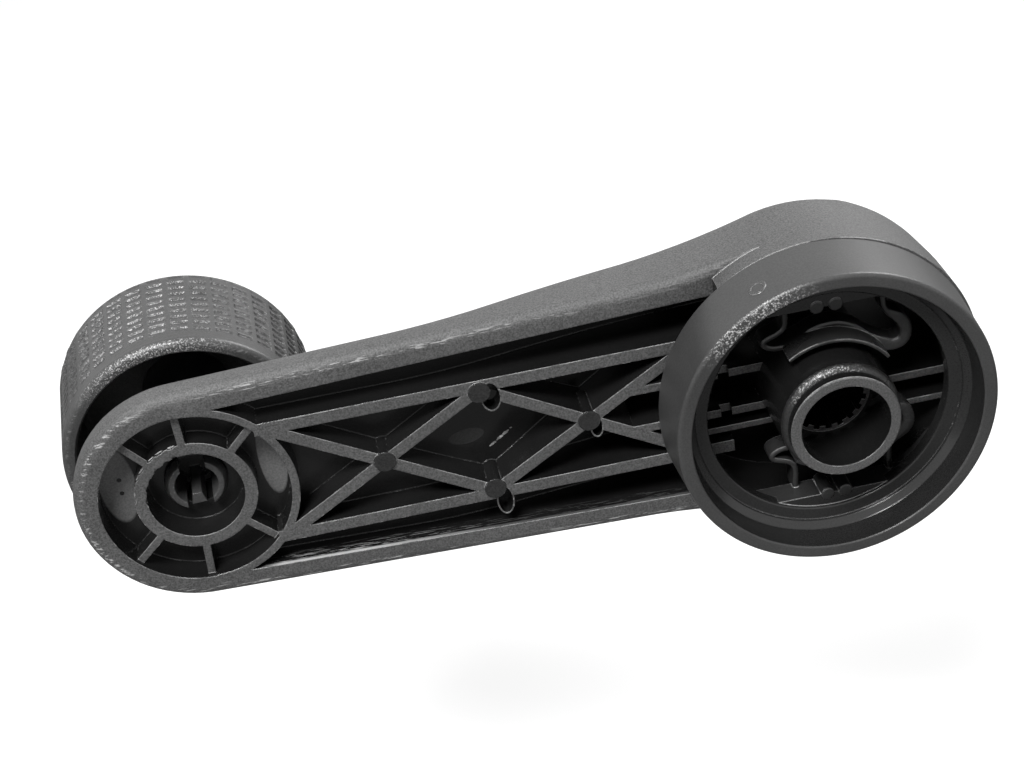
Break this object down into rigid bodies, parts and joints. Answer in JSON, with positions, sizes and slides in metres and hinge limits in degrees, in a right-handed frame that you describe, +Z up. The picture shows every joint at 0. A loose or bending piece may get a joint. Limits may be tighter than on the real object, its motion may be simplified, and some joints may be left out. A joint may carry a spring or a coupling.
{
  "type": "crank handle",
  "caption": "Ribbed plastic crank handle with a hollow spinning knob at one end, a splined shaft boss at the other and a sliding lock ring with leaf springs.",
  "frame": {"origin": "centre of the shaft bore's mouth, at the end of the boss", "axes": "+Y runs along the shaft from the door side towards the knob side, the arm runs from the shaft along -X to the knob, +Z is up across the arm with the arm held level"},
  "size_m": [0.1263, 0.0469, 0.0442],
  "materials": {
    "arm_plastic": "fine-grained, worn edges",
    "ring_plastic": "satin, worn edges",
    "knob_plastic": "textured grip"
  },
  "bodies": {
    "arm": {"crank_arm": "arm_plastic"},
    "ring": {"lock_ring": "ring_plastic"},
    "knob": {"knob": "knob_plastic"}
  },
  "joints": [
    {"name": "knob_spin", "type": "hinge", "parent": "arm", "child": "knob", "pos_m": [-0.085, 0.0189, 0], "axis": [-0.0454, 0.999, 0], "continuous": true},
    {"name": "ring_slide", "type": "slide", "parent": "arm", "child": "ring", "axis": [-1, 0, 0], "range_m": [0, 0.0012], "stiffness_N_per_m": 800}
  ]
}
